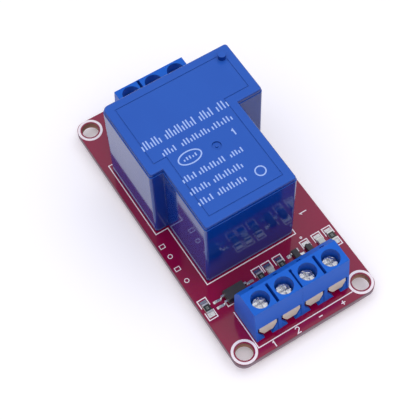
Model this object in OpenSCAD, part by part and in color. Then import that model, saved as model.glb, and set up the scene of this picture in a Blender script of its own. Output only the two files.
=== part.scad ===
// Single-channel relay module board: a 30 A sealed relay on a fibreglass board, driven through an
// optocoupler and a transistor. A four-way screw terminal takes the supply and signal wires in at
// the front, and a three-way one takes the switched contacts out at the back.
// Origin: middle of the mounting-hole pattern on the underside of the board. +Y is the contact
// side, +X runs along the input terminals from the signal end to the supply end, +Z is up.

/* [Board] */
// Board width along X
board_w = 31; // [30.5:0.5:34]
// Board length along Y
board_l = 62; // [57:0.5:68]
// Board thickness
board_t = 1.6; // [1.2:0.2:2]
// Radius of the board's corners
board_r = 2.2; // [1:0.2:3]
// Distance of the mounting holes from the board's edges
hole_in = 2.5; // [2.4:0.05:2.7]
// Mounting-hole diameter, for M3
hole_d = 3.4; // [3.2:0.1:3.5]

/* [Relay case] */
// Width of the relay across its two wings
relay_w = 27.3; // [26.8:0.1:27.8]
// Top of the relay above the board
relay_h = 21; // [20.6:0.2:24]
// Middle of the relay along X
relay_x = -0.15; // [-0.3:0.05:0]
// Gap between the small parts' solder and the relay
relay_gap = 2.7; // [2:0.1:4]
// Gap between the relay and the output terminals
back_gap = 2.25; // [1:0.05:4]
// Width of the left wing
left_wing_w = 2.65; // [2:0.1:3]
// Length of the left wing along Y
left_wing_l = 17.6; // [16:0.2:19]
// Width of the right wing
right_wing_w = 5.3; // [5:0.1:5.6]
// Length of the right wing along Y
right_wing_l = 12.7; // [11:0.2:14]
// Wall of the case
case_wall = 0.8; // [0.6:0.1:0.9]
// Height of the step band under the top of the case
band_h = 0.9; // [0.5:0.1:1.2]
// Setback of the step band
band_step = 0.12; // [0.08:0.02:0.2]
// Rounding of the case's top edges
case_top_r = 0.35; // [0.2:0.05:0.45]
// Rounding of the case's upright corners
case_corner_r = 0.6; // [0.5:0.05:0.8]
// Rounding of the back left upright corner
case_back_r = 1.2; // [0.8:0.1:1.5]
// Inset of the outline groove on the top
groove_inset = 1.9; // [1.5:0.1:2.1]
// Width of the outline groove
groove_w = 0.16; // [0.1:0.02:0.2]
// Diameter of the vent nub on the top
nub_d = 1.6; // [1.2:0.1:2]
// Height of the vent nub
nub_h = 1.1; // [0.6:0.1:1.4]
// Diameter of the round moulding mark
mark_d = 1.8; // [1.4:0.1:2.2]

/* [Relay works] */
// Thickness of the base plate
base_t = 1.7; // [1.5:0.1:1.9]
// Diameter of the coil winding
coil_d = 12.6; // [11.5:0.1:13]
// Diameter of the iron core
core_d = 5.4; // [4.8:0.1:5.8]
// Thickness of the yoke's iron
yoke_t = 1.3; // [1.1:0.1:1.4]
// Thickness of the armature
armature_t = 1.2; // [1:0.1:1.2]
// Width of the yoke and the armature
yoke_w = 12; // [10:0.5:13]
// Swing of the armature, in degrees
armature_swing = 3.2; // [2.6:0.2:3.2]
// Diameter of the contact buttons
contact_d = 3.6; // [3:0.1:3.8]

/* [Screw terminals] */
// Spacing of the terminal ways
pitch = 5.08; // [5:0.02:5.1]
// Height of a terminal housing
block_h = 9.8; // [9.6:0.1:10.4]
// Depth of a terminal housing at its foot
block_d = 7.65; // [7.5:0.05:7.8]
// Lean of the wire-entry face over the housing's height
face_lean = 1.08; // [0.8:0.02:1.2]
// Width of a wire entry
entry_w = 4.4; // [4.35:0.01:4.45]
// Height of a wire entry
entry_h = 4.3; // [4.3:0.02:4.4]
// Diameter of a screwdriver hole
driver_d = 3.55; // [3.5:0.01:3.65]
// Distance of the screws from the wire-entry face at its foot
screw_in = 3.25; // [3.2:0.01:3.3]
// Middle of the input terminals along X
input_x = 0.2; // [0:0.05:0.3]
// Distance of the input terminals' foot from the board's front edge
input_edge = 2.8; // [2.6:0.05:3]
// Middle of the output terminals along X
output_x = 0.8; // [0.5:0.05:1]
// Distance of the output terminals' foot from the board's back edge
output_edge = 2.3; // [1.6:0.05:2.4]

/* [Screws and clamps] */
// Diameter of a screw head
head_d = 3; // [2.9:0.05:3.2]
// Height of a screw head
head_h = 1.2; // [1:0.05:1.2]
// Depth of the screw heads below the top of the housing
head_sink = 2.1; // [2:0.05:2.2]
// Diameter of the screw thread
thread_d = 2.5; // [2.4:0.05:2.6]
// Travel of a clamp plate
clamp_travel = 0.9; // [0.7:0.05:0.9]
// Thickness of a clamp plate
clamp_t = 0.35; // [0.3:0.05:0.4]
// Width of a clamp plate's front lip
lip_w = 3.75; // [3.4:0.05:3.9]
// Height of a clamp plate's front lip
lip_h = 2.35; // [2.2:0.05:2.4]

/* [Small parts] */
// Gap between the input terminals and the small parts' solder
row_gap = 1.05; // [0.6:0.05:2]
// Length of a chip part
chip_l = 2; // [1.9:0.05:2.1]
// Width of a chip part
chip_w = 1.25; // [1.15:0.05:1.3]
// Thickness of a chip resistor
chip_t = 0.5; // [0.4:0.05:0.6]

/* [Pins] */
// Length of the pins below the board
pin_tail = 1.5; // [1.2:0.1:2]
// Diameter of the terminal pins
pin_d = 1; // [0.9:0.05:1.1]

/* [Hidden] */
$fn = 40;
bit = 0.02;                                   // overlap that makes neighbouring shapes one solid
pin_fit = 0.1;                                // gap between a pin and its drilled hole, radial
thread_fit = 0.05;                            // running gap round a screw's thread, radial
seam = 0.02;                                  // gap between two joined housings
contact_pin_d = 1.3;                          // relay contact pins
coil_pin_d = 0.8;                             // relay coil pins

// Along the board, from the front edge: terminals, small parts, relay, terminals
pad_out = 1.85;                               // outer end of a chip's solder, from its middle
row_in = input_edge + block_d + row_gap + pad_out;
relay_in = row_in + pad_out + relay_gap;
relay_l = board_l - relay_in - back_gap - block_d - output_edge;
hole_dx = board_w - 2 * hole_in;
hole_dy = board_l - 2 * hole_in;

// Relay case, seen from above
case_x0 = relay_x - relay_w / 2;
case_x1 = relay_x + relay_w / 2;
case_y0 = relay_in - board_l / 2;
case_y1 = case_y0 + relay_l;
body_x0 = case_x0 + left_wing_w;
body_x1 = case_x1 - right_wing_w;
case_gap = 0.35;                              // air under the case, left by the base's feet
case_z0 = board_t + case_gap;
case_z1 = board_t + relay_h;
base_fit = 0.05;                              // gap between the base plate and the case wall
base_foot_in = 2.2;                           // feet of the base plate, from the case's sides
base_foot_d = 1.6;
base_z1 = case_z0 + base_t;
groove_t = 0.1;
mark_in = 13.45;                              // moulding mark, from the front of the case
mark_at = [2 * relay_x, case_y0 + mark_in];
nub_in = 2.6;
nub_at = [case_x1 - nub_in, case_y1 - nub_in];

// Relay works, stacked up from the base plate
coil_in = 10.1;                               // coil axis, from the front of the case
coil_x = (body_x0 + body_x1) / 2;
coil_y = case_y0 + coil_in;
works_z0 = base_z1 + bit;
yoke_gap = 0.95;                              // air between the case wall and the yoke
yoke_y0 = case_y0 + case_wall + yoke_gap;
yoke_lap = 1.2;                               // yoke's foot beyond the core
works_top = 4.4;                              // room over the yoke for the armature and contacts
armature_z = case_z1 - works_top;             // underside of the armature
hinge_y = yoke_y0 + yoke_t;                   // the armature rocks on the yoke's inner edge
armature_lap = 0.6;                           // armature beyond the pole
pole_r = 4;
pole_t = 0.9;
pole_air = 0.06;                              // left between pole and armature when pulled in
pole_gap = (coil_y + pole_r - hinge_y) * tan(armature_swing) + pole_air;
pole_z = armature_z - pole_gap;
flange_t = 0.8;
flange_out = 0.5;                             // bobbin flange beyond the winding
bobbin_z0 = works_z0 + yoke_t + bit;
bobbin_z1 = pole_z - pole_t - bit;
core_fit = 0.04;
sleeve_t = 0.7;
arm_t = 0.35;
arm_w = 6;
arm_in = 1.5;                                 // start of the contact arm on the armature
arm_out = 2.4;                                // contact arm beyond the moving contact
arm_z = armature_z + armature_t;
contact_in = 6.4;                             // contacts, from the back of the case
contact_y = case_y1 - contact_in;
contact_air = 0.05;                           // left at the open contact when the armature is in
button_up = 0.7;
button_down = 1.1;
contact_drop = (contact_y + contact_d / 2 - hinge_y) * tan(armature_swing);
strip_t = 0.45;
strip_w = 4;
strip_out = 0.6;                              // contact strips beyond their buttons
nc_z = arm_z + arm_t + button_up + bit;
no_z = arm_z - button_down - contact_drop - contact_air;
button_t = 0.45;
nc_in = 0.75;                                 // normally closed strip, from the case wall
no_in = 1.6;                                  // normally open strip, from the case wall
nc_x = case_x0 + case_wall + nc_in;
no_x = case_x1 - case_wall - no_in;
common_t = 0.5;
common_sink = 0.55;                           // depth of the common strip in the base plate
common_top = 4;                               // end of the common strip below the armature
coil_pin_dx = 5.6;
coil_pin_out = 6.4;                           // coil pins, behind the coil axis
coil_pin_y = coil_y + coil_pin_out;
coil_pin_up = 1.2;                            // coil pins above the bobbin's flange

// Terminal housings: the local frame has y = 0 at the foot of the wire-entry face
input_y = -board_l / 2 + input_edge;
output_y = board_l / 2 - output_edge;
side_cover = 0.1;                             // extra plastic on the outer ends
cavity_y0 = 1.16;
cavity_y1 = block_d - 0.85;
cavity_z = 5.5;
slot_w = 0.55;                                // slot between two ways of one housing
slot_z = 3.2;
slot_y0 = 1.2;
slot_y1 = 5.3;
joint_w = 0.36;                               // narrower slot where two housings join
joint_end = 0.5;                              // wide end of that slot
shoulder_y = 5.75;                            // where the flat top ends and the back slopes down
back_in = 0.65;                               // upper bend of the back, from its foot
back_drop = 1.3;                              // the same bend, from the top
back_low = 3.2;                               // lower bend of the back, from the top
foot_w = 1.4;
foot_h = 2.6;
foot_d = 0.8;
frame_t = 0.6;
frame_w = 3.8;
frame_y0 = 1.4;
frame_y1 = cavity_y1 - 0.1;
frame_z0 = 0.7;
frame_z1 = 5.2;
plate_t = 0.8;                                // threaded top of the contact frame
pin_in = 4.3;
lip_y = 0.52;
lip_lean = 0.35;                              // the lip's lower edge stands this far forward
lip_cut = [0.875, 1.3];                       // cut corners of the lip, width and height
lip_top = entry_h - 0.08;
arm_len = 4.7;
head_z = block_h - head_sink;
screw_tip = lip_top + bit;
head_bevel = 0.12;

// Small parts on the board
row_y = -board_l / 2 + row_in;
pad_t = 0.05;                                 // solder under each part
pad_w = 1.35;
pad_in = 0.7;
chip_z = board_t + pad_t;
resistor_x = [for (u = [-0.455, -0.068, 0.084, 0.453]) u * board_w];
led_x = [for (u = [0.002, 0.373]) u * board_w];
diode_x = 0.285 * board_w;
opto_at = [-0.262 * board_w, row_y - 0.3];
opto_size = [4.4, 2.6, 1.8];
opto_pitch = 1.27;
opto_reach = 3.5;
transistor_at = [0.192 * board_w, row_y - 0.15];
transistor_size = [1.3, 2.9, 0.95];
transistor_pitch = 0.95;
transistor_reach = 1.25;
led_base_t = 0.35;
led_lens_t = 0.45;
diode_size = [1.3, 1.7, 0.9];
body_lift = 0.12;                             // air under a moulded package
lead_t = 0.15;
lead_w = 0.42;
solder_run = 0.95;                            // solder that runs out past a lead's toe
cone_h = 0.9;                                 // solder cones under the board

function way_x(n, count) = (n - (count + 1) / 2) * pitch;
input_ways = 4;
output_ways = 3;

// ---- shared shapes ----

// A square-cornered block given by two opposite corners.
module box(a, b) {
  translate(a) cube(b - a);
}

// One profile of a rounded-top slab: width w, height h, top corners of radius r.
module slab_profile(w, h, r) {
  square([w, h - r]);
  translate([r, 0]) square([w - 2 * r, h]);
  for (x = [r, w - r]) translate([x, h - r]) circle(r, $fn = 24);
}

// A block with its upright corners rounded by rv and its top edges by rt.
module soft_block(a, b, rv, rt) {
  w = b[0] - a[0];
  d = b[1] - a[1];
  h = b[2] - a[2];
  translate([a[0], b[1] - rv, a[2]]) rotate([90, 0, 0])
    linear_extrude(d - 2 * rv) slab_profile(w, h, rt);
  translate([a[0] + rv, a[1], a[2]]) rotate([90, 0, 90])
    linear_extrude(w - 2 * rv) slab_profile(d, h, rt);
  for (x = [a[0] + rv, b[0] - rv], y = [a[1] + rv, b[1] - rv])
    translate([x, y, a[2]]) rotate_extrude() {
      square([rv, h - rt]);
      square([rv - rt, h]);
      translate([rv - rt, h - rt]) intersection() {
        circle(rt, $fn = 24);
        square(rt);
      }
    }
}

// A rectangle with rounded corners, given by two opposite corners.
module soft_rect(a, b, r) {
  translate([a[0] + r, a[1]]) square([b[0] - a[0] - 2 * r, b[1] - a[1]]);
  translate([a[0], a[1] + r]) square([b[0] - a[0], b[1] - a[1] - 2 * r]);
  for (x = [a[0] + r, b[0] - r], y = [a[1] + r, b[1] - r]) translate([x, y]) circle(r);
}

// The relay's T-shaped outline with square corners, moved in by i all round.
module case_plan(i) {
  translate([body_x0 + i, case_y0 + i]) square([body_x1 - body_x0 - 2 * i, relay_l - 2 * i]);
  translate([case_x0 + i, case_y1 - left_wing_l + i])
    square([relay_w / 2, left_wing_l - 2 * i]);
  translate([case_x1 - i - relay_w / 2, case_y1 - right_wing_l + i])
    square([relay_w / 2, right_wing_l - 2 * i]);
}

// The relay case from above as overlapping rectangles moved in by i: [corner, corner, radius].
function case_rects(i) = [
  [[body_x0 + i, case_y0 + i], [body_x1 - i, case_y1 - i], case_corner_r],
  [[case_x0 + i, case_y1 - left_wing_l + i], [relay_x, case_y1 - 2 * case_back_r], case_corner_r],
  [[case_x0 + i, case_y1 - left_wing_l / 2], [relay_x, case_y1 - i], case_back_r],
  [[relay_x, case_y1 - right_wing_l + i], [case_x1 - i, case_y1 - i], case_corner_r]];

// Every pin that passes the board, as [x, y, diameter].
function input_pins() = [for (n = [1:input_ways])
  [input_x + way_x(n, input_ways), input_y + pin_in, pin_d]];
function output_pins() = [for (n = [1:output_ways])
  [output_x + way_x(n, output_ways), output_y - pin_in, pin_d]];
function relay_pins() = [
  [nc_x + strip_t / 2, contact_y, contact_pin_d],
  [no_x + strip_t / 2, contact_y, contact_pin_d],
  [coil_x, yoke_y0 - common_t / 2, contact_pin_d],
  [coil_x - coil_pin_dx, coil_pin_y, coil_pin_d],
  [coil_x + coil_pin_dx, coil_pin_y, coil_pin_d]];
function all_pins() = concat(input_pins(), output_pins(), relay_pins());

// A round pin from height z down through the board to its tail.
module pin(at, z) {
  translate([at[0], at[1], -pin_tail]) cylinder(h = z + pin_tail, d = at[2]);
}

// ---- board ----

module pcb() color([0.55, 0.05, 0.15]) difference() {
  union() {
    box([board_r - board_w / 2, -board_l / 2, 0], [board_w / 2 - board_r, board_l / 2, board_t]);
    box([-board_w / 2, board_r - board_l / 2, 0], [board_w / 2, board_l / 2 - board_r, board_t]);
    for (x = [-1, 1], y = [-1, 1])
      translate([x * (board_w / 2 - board_r), y * (board_l / 2 - board_r), 0])
        cylinder(h = board_t, r = board_r);
  }
  for (x = [-1, 1], y = [-1, 1]) translate([x * hole_dx / 2, y * hole_dy / 2, -1])
    cylinder(h = board_t + 2, d = hole_d);
  for (p = all_pins()) translate([p[0], p[1], -1])
    cylinder(h = board_t + 2, r = p[2] / 2 + pin_fit);
}

// ---- relay ----

module relay_cover() color([0.15, 0.3, 0.75]) difference() {
  union() {
    translate([0, 0, case_z0]) linear_extrude(case_z1 - band_h - case_z0)
      for (c = case_rects(0)) soft_rect(c[0], c[1], c[2]);
    for (c = case_rects(band_step))
      soft_block([c[0][0], c[0][1], case_z1 - band_h - bit], [c[1][0], c[1][1], case_z1], c[2],
        case_top_r);
    translate([nub_at[0], nub_at[1], case_z1 - 0.2]) cylinder(h = nub_h + 0.2, d = nub_d);
  }
  translate([0, 0, case_z0 - 1])
    linear_extrude(case_z1 - case_z0 + 1 - case_wall) case_plan(case_wall);
  translate([0, 0, case_z1 - groove_t]) linear_extrude(1) difference() {
    case_plan(groove_inset);
    case_plan(groove_inset + groove_w);
    translate(nub_at) circle(d = nub_d + 0.4);
  }
  translate([mark_at[0], mark_at[1], case_z1 - 0.3]) difference() {
    cylinder(h = 1, d = mark_d);
    cylinder(h = 0.25, d = mark_d / 3);
  }
}

module relay_base() color([0.12, 0.22, 0.55]) difference() {
  union() {
    translate([0, 0, case_z0]) linear_extrude(base_t) case_plan(case_wall + base_fit);
    for (x = [body_x0 + base_foot_in, body_x1 - base_foot_in],
        y = [case_y0 + base_foot_in + 1, case_y1 - base_foot_in])
      translate([x, y, board_t]) cylinder(h = case_gap + bit, d = base_foot_d);
  }
  for (p = relay_pins()) translate([p[0], p[1], 0])
    cylinder(h = base_z1 + 1, r = p[2] / 2 + pin_fit);
  box([coil_x - strip_w / 2 - base_fit, yoke_y0 - common_t - base_fit,
    base_z1 - common_sink - base_fit],
    [coil_x + strip_w / 2 + base_fit, yoke_y0 + base_fit, base_z1 + 1]);
}

module relay_bobbin() color([0.9, 0.88, 0.8]) translate([coil_x, coil_y, 0]) difference() {
  union() {
    for (z = [bobbin_z0, bobbin_z1 - flange_t]) translate([0, 0, z])
      cylinder(h = flange_t, r = coil_d / 2 + flange_out);
    translate([0, 0, bobbin_z0]) cylinder(h = bobbin_z1 - bobbin_z0, r = core_d / 2 + sleeve_t);
    box([-coil_pin_dx - coil_pin_d, coil_pin_out / 2, bobbin_z0],
      [coil_pin_dx + coil_pin_d, coil_pin_out + coil_pin_d, bobbin_z0 + flange_t]);
  }
  translate([0, 0, bobbin_z0 - 1])
    cylinder(h = bobbin_z1 - bobbin_z0 + 2, r = core_d / 2 + core_fit);
  for (s = [-1, 1]) translate([s * coil_pin_dx, coil_pin_out, bobbin_z0 - 1])
    cylinder(h = flange_t + 2, r = coil_pin_d / 2 + 0.01);
}

module relay_winding() color([0.72, 0.38, 0.15]) translate([coil_x, coil_y, 0]) difference() {
  translate([0, 0, bobbin_z0 + flange_t + bit])
    cylinder(h = bobbin_z1 - bobbin_z0 - 2 * flange_t - 2 * bit, d = coil_d);
  translate([0, 0, bobbin_z0])
    cylinder(h = bobbin_z1 - bobbin_z0, r = core_d / 2 + sleeve_t + core_fit);
}

module relay_core() color([0.6, 0.6, 0.62]) translate([coil_x, coil_y, 0]) {
  translate([0, 0, works_z0]) cylinder(h = pole_z - works_z0, d = core_d);
  translate([0, 0, pole_z - pole_t]) cylinder(h = pole_t, r = pole_r);
}

module relay_yoke() color([0.62, 0.62, 0.64]) difference() {
  union() {
    box([coil_x - yoke_w / 2, yoke_y0, works_z0],
      [coil_x + yoke_w / 2, coil_y + core_d / 2 + yoke_lap, works_z0 + yoke_t]);
    box([coil_x - yoke_w / 2, yoke_y0, works_z0],
      [coil_x + yoke_w / 2, yoke_y0 + yoke_t, armature_z - bit]);
  }
  translate([coil_x, coil_y, works_z0 - 1])
    cylinder(h = yoke_t + 2, r = core_d / 2 + core_fit);
}

// Swings down on the yoke's upper edge when the coil is live.
module relay_armature() color([0.66, 0.66, 0.68])
  box([coil_x - yoke_w / 2, yoke_y0, armature_z],
    [coil_x + yoke_w / 2, coil_y + pole_r + armature_lap, arm_z]);

// Leaf spring on the armature, with the moving contact near its end.
module relay_contact_arm() color([0.78, 0.55, 0.3]) {
  box([coil_x - arm_w / 2, yoke_y0 + arm_in, arm_z],
    [coil_x + arm_w / 2, contact_y + arm_out, arm_z + arm_t]);
  translate([coil_x, contact_y, arm_z - button_down])
    cylinder(h = button_down + arm_t + button_up, d = contact_d);
}

// Normally closed contact: over the arm and down the left side of the case.
module relay_nc_terminal() color([0.75, 0.6, 0.35]) {
  translate([coil_x, contact_y, nc_z]) cylinder(h = button_t + bit, d = contact_d);
  box([nc_x, contact_y - strip_w / 2, nc_z + button_t],
    [coil_x + contact_d / 2 + strip_out, contact_y + strip_w / 2, nc_z + button_t + strip_t]);
  box([nc_x, contact_y - strip_w / 2, base_z1 + bit],
    [nc_x + strip_t, contact_y + strip_w / 2, nc_z + button_t + bit]);
  pin(relay_pins()[0], base_z1 + strip_t);
}

// Normally open contact: under the arm and down the right side of the case.
module relay_no_terminal() color([0.75, 0.6, 0.35]) {
  translate([coil_x, contact_y, no_z - button_t]) cylinder(h = button_t, d = contact_d);
  box([coil_x - contact_d / 2 - strip_out, contact_y - strip_w / 2, no_z - button_t - strip_t],
    [no_x + strip_t, contact_y + strip_w / 2, no_z - button_t + bit]);
  box([no_x, contact_y - strip_w / 2, base_z1 + bit],
    [no_x + strip_t, contact_y + strip_w / 2, no_z - button_t]);
  pin(relay_pins()[1], base_z1 + strip_t);
}

// Common contact: a strip up the outside of the yoke, which carries the arm.
module relay_common_terminal() color([0.75, 0.6, 0.35]) {
  box([coil_x - strip_w / 2, yoke_y0 - common_t - bit, base_z1 - common_sink],
    [coil_x + strip_w / 2, yoke_y0 - bit, armature_z - common_top]);
  pin(relay_pins()[2], base_z1 - common_sink / 2);
}

module relay_coil_pins() color([0.8, 0.8, 0.82])
  for (n = [3, 4]) pin(relay_pins()[n], bobbin_z0 + flange_t + coil_pin_up);

// ---- screw terminals ----

// Side outline of a housing: leaning wire-entry face, flat top, sloping back shoulder.
module housing_profile() polygon([[0, 0], [face_lean, block_h], [shoulder_y, block_h],
  [block_d - back_in, block_h - back_drop], [block_d, block_h - back_low], [block_d, 0]]);

// Room for one way: wire entry, cavity, screwdriver hole and the mark on the shoulder.
module housing_way() {
  box([-entry_w / 2, -1, -1], [entry_w / 2, cavity_y0 + bit, entry_h]);
  box([-entry_w / 2, cavity_y0, -1], [entry_w / 2, cavity_y1, cavity_z]);
  translate([0, screw_in, cavity_z - bit]) cylinder(h = block_h, d = driver_d);
  box([-0.45, shoulder_y + 0.25, block_h - 1.1], [0.45, shoulder_y + 0.55, block_h]);
}

// The sloping feet in the lower corners of a wire entry.
module entry_feet() for (s = [0, 1]) mirror([s, 0, 0]) intersection() {
  translate([0, foot_d, 0]) rotate([90, 0, 0]) linear_extrude(foot_d)
    polygon([[-entry_w / 2 - bit, 0], [foot_w - entry_w / 2, 0], [-entry_w / 2 - bit, foot_h]]);
  rotate([90, 0, 90]) translate([0, 0, -entry_w]) linear_extrude(2 * entry_w)
    polygon([[0.04, 0], [0.04 + foot_h * 0.22, foot_h], [foot_d, foot_h], [foot_d, 0]]);
}

// A slot of width w in the top of a housing, between the way n and the next, starting at y0.
module way_slot(n, count, w, y0) translate([way_x(n, count) + pitch / 2, 0, 0])
  box([-w / 2, y0, block_h - slot_z], [w / 2, slot_y1, block_h + 1]);

// A moulded housing over ways first to last of a row of count ways. slot_way is the way with a
// slot after it, and joint_way the one where two housings join, or 0 for no joint.
module housing(first, last, count, end_lo, end_hi, slot_way, joint_way) color([0.12, 0.3, 0.85]) {
  x0 = way_x(first, count) - pitch / 2 - end_lo;
  x1 = way_x(last, count) + pitch / 2 + end_hi;
  difference() {
    translate([x0, 0, 0]) rotate([90, 0, 90]) linear_extrude(x1 - x0) housing_profile();
    for (n = [first:last]) translate([way_x(n, count), 0, 0]) housing_way();
    way_slot(slot_way, count, slot_w, slot_y0);
    if (joint_way > 0) {
      way_slot(joint_way, count, joint_w, slot_y0);
      way_slot(joint_way, count, slot_w, slot_y1 - joint_end);
    }
  }
  for (n = [first:last]) translate([way_x(n, count), 0, 0]) entry_feet();
}

module at_input() translate([input_x, input_y, board_t]) children();
module at_output() translate([output_x, output_y, board_t]) rotate(180) children();

// The folded metal frame of one way, with the screw's thread above and the pin below.
module contact_frame() color([0.75, 0.72, 0.65]) {
  difference() {
    union() {
      box([-frame_w / 2, frame_y0, frame_z1 - plate_t], [frame_w / 2, frame_y1, frame_z1]);
      box([-frame_w / 2, frame_y1 - frame_t, frame_z0], [frame_w / 2, frame_y1, frame_z1]);
      box([-frame_w / 2, frame_y0, frame_z0], [frame_w / 2, frame_y1, frame_z0 + frame_t]);
    }
    translate([0, screw_in, frame_z1 - plate_t - bit])
      cylinder(h = plate_t + 2 * bit, r = thread_d / 2 + thread_fit);
  }
  translate([0, pin_in, -board_t - pin_tail])
    cylinder(h = board_t + pin_tail + frame_z0 + bit, d = pin_d);
}

// The plate that the screw presses down on the wire, with its leaning front lip. The lower
// corners of the lip are cut to pass the housing's feet.
module clamp_plate() color([0.8, 0.76, 0.68]) {
  lip_z = lip_top - lip_h;
  box([-1.7, lip_y, lip_top - clamp_t], [1.7, lip_y + arm_len, lip_top]);
  intersection() {
    rotate([90, 0, 90]) translate([0, 0, -lip_w]) linear_extrude(2 * lip_w)
      polygon([[lip_y, lip_top], [lip_y - lip_lean, lip_z], [lip_y - lip_lean + clamp_t, lip_z],
        [lip_y + clamp_t, lip_top]]);
    translate([0, lip_y + clamp_t, 0]) rotate([90, 0, 0]) linear_extrude(lip_lean + clamp_t)
      polygon([[-lip_w / 2, lip_top], [-lip_w / 2, lip_z + lip_cut[1]],
        [lip_cut[0] - lip_w / 2, lip_z], [lip_w / 2 - lip_cut[0], lip_z],
        [lip_w / 2, lip_z + lip_cut[1]], [lip_w / 2, lip_top]]);
  }
}

// A small screw with a straight slot crossed by a short one, and a bevelled head edge.
module clamp_screw() color([0.82, 0.82, 0.85]) translate([0, screw_in, 0]) difference() {
  union() {
    translate([0, 0, screw_tip]) cylinder(h = head_z - head_h - screw_tip + bit, d = thread_d);
    translate([0, 0, head_z - head_h]) cylinder(h = head_h - head_bevel, d = head_d);
    translate([0, 0, head_z - head_bevel])
      cylinder(h = head_bevel, d1 = head_d, d2 = head_d - 2 * head_bevel);
  }
  box([-head_d, -0.25, head_z - 0.7], [head_d, 0.25, head_z + 1]);
  box([-0.25, -0.95, head_z - 0.6], [0.25, 0.95, head_z + 1]);
}

module input_way(n) at_input() translate([way_x(n, input_ways), 0, 0]) children();
module output_way(n) at_output() translate([way_x(output_ways + 1 - n, output_ways), 0, 0]) children();

module input_housing_left() at_input() housing(1, 2, input_ways, side_cover, -seam / 2, 1, 2);
module input_housing_right() at_input() housing(3, 4, input_ways, -seam / 2, side_cover, 3, 2);
module output_housing() at_output() housing(1, 3, output_ways, side_cover, side_cover, 2, 0);

module input_contact_1() input_way(1) contact_frame();
module input_contact_2() input_way(2) contact_frame();
module input_contact_3() input_way(3) contact_frame();
module input_contact_4() input_way(4) contact_frame();
module input_clamp_1() input_way(1) clamp_plate();
module input_clamp_2() input_way(2) clamp_plate();
module input_clamp_3() input_way(3) clamp_plate();
module input_clamp_4() input_way(4) clamp_plate();
module input_screw_1() input_way(1) clamp_screw();
module input_screw_2() input_way(2) clamp_screw();
module input_screw_3() input_way(3) clamp_screw();
module input_screw_4() input_way(4) clamp_screw();
module output_contact_1() output_way(1) contact_frame();
module output_contact_2() output_way(2) contact_frame();
module output_contact_3() output_way(3) contact_frame();
module output_clamp_1() output_way(1) clamp_plate();
module output_clamp_2() output_way(2) clamp_plate();
module output_clamp_3() output_way(3) clamp_plate();
module output_screw_1() output_way(1) clamp_screw();
module output_screw_2() output_way(2) clamp_screw();
module output_screw_3() output_way(3) clamp_screw();

// ---- small parts ----

// Chip resistor: ceramic slab with wrapped metal ends.
module chip_resistor(x) color([0.1, 0.1, 0.12])
  translate([x - chip_w / 2, row_y - chip_l / 2, chip_z]) cube([chip_w, chip_l, chip_t]);

// Chip light: base with metal ends, and a clear block with sloping ends on top.
module led_body(x) color([0.92, 0.92, 0.9])
  translate([x - chip_w / 2, row_y - chip_l / 2, chip_z]) cube([chip_w, chip_l, led_base_t]);
module led_lens(x) color([0.85, 0.9, 0.8]) translate([x + chip_w / 2, row_y, chip_z + led_base_t])
  rotate([90, 0, -90]) linear_extrude(chip_w)
    polygon([[-0.62, 0], [-0.5, led_lens_t], [0.5, led_lens_t], [0.62, 0]]);

// Moulded package with its upper sides sloping in: size s, half height up to the seam.
module package(s, lean) intersection() {
  translate([-s[0] / 2, 0, 0]) rotate([90, 0, 90]) linear_extrude(s[0])
    polygon([[-s[1] / 2 + lean, 0], [-s[1] / 2, s[2] / 2], [-s[1] / 2 + lean, s[2]],
      [s[1] / 2 - lean, s[2]], [s[1] / 2, s[2] / 2], [s[1] / 2 - lean, 0]]);
  translate([0, s[1] / 2, 0]) rotate([90, 0, 0]) linear_extrude(s[1])
    polygon([[-s[0] / 2 + lean, 0], [-s[0] / 2, s[2] / 2], [-s[0] / 2 + lean, s[2]],
      [s[0] / 2 - lean, s[2]], [s[0] / 2, s[2] / 2], [s[0] / 2 - lean, 0]]);
}

// Gull-wing lead along +X: out of the package side, down, and along the board.
module gull_lead(body, reach, rise) {
  knee = (body + reach) / 2 - 0.1;
  translate([0, lead_w / 2, 0]) rotate([90, 0, 0]) linear_extrude(lead_w)
    polygon([[body, rise], [knee, rise], [knee + 0.1, lead_t], [reach, lead_t], [reach, 0],
      [knee, 0], [knee - 0.1, rise - lead_t], [body, rise - lead_t]]);
}

module optocoupler_body() color([0.16, 0.17, 0.17]) difference() {
  translate([opto_at[0], opto_at[1], board_t + body_lift]) package(opto_size, 0.16);
  translate([opto_at[0] - 1.6, opto_at[1] + 0.75, board_t + body_lift + opto_size[2] - 0.08])
    cylinder(h = 1, d = 0.6, $fn = 24);
}
module optocoupler_leads() color([0.8, 0.8, 0.8])
  for (side = [0, 180], y = [-0.5, 0.5])
    translate([opto_at[0], opto_at[1] + y * opto_pitch, board_t + pad_t]) rotate(side)
      gull_lead(opto_size[0] / 2 - bit, opto_reach, body_lift - pad_t + opto_size[2] / 2 + lead_t / 2);

module transistor_body() color([0.14, 0.14, 0.15])
  translate([transistor_at[0], transistor_at[1], board_t + body_lift])
    package(transistor_size, 0.1);
module transistor_lead(side, y) translate([transistor_at[0], transistor_at[1] + y, board_t + pad_t])
  rotate(side) gull_lead(transistor_size[0] / 2 - bit, transistor_reach,
    body_lift - pad_t + transistor_size[2] / 2 + lead_t / 2);
module transistor_leads() color([0.8, 0.8, 0.8]) {
  transistor_lead(180, -transistor_pitch);
  transistor_lead(180, transistor_pitch);
  transistor_lead(0, 0);
}

module diode() color([0.15, 0.15, 0.16]) translate([diode_x, row_y, chip_z]) {
  translate([0, 0, 0.02]) package(diode_size, 0.1);
  box([-0.25, -1.25, 0], [0.25, 1.25, 0.14]);
}

module resistor_1() chip_resistor(resistor_x[0]);
module resistor_2() chip_resistor(resistor_x[1]);
module resistor_3() chip_resistor(resistor_x[2]);
module resistor_4() chip_resistor(resistor_x[3]);
module power_led_body() led_body(led_x[0]);
module power_led_lens() led_lens(led_x[0]);
module signal_led_body() led_body(led_x[1]);
module signal_led_lens() led_lens(led_x[1]);

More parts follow.
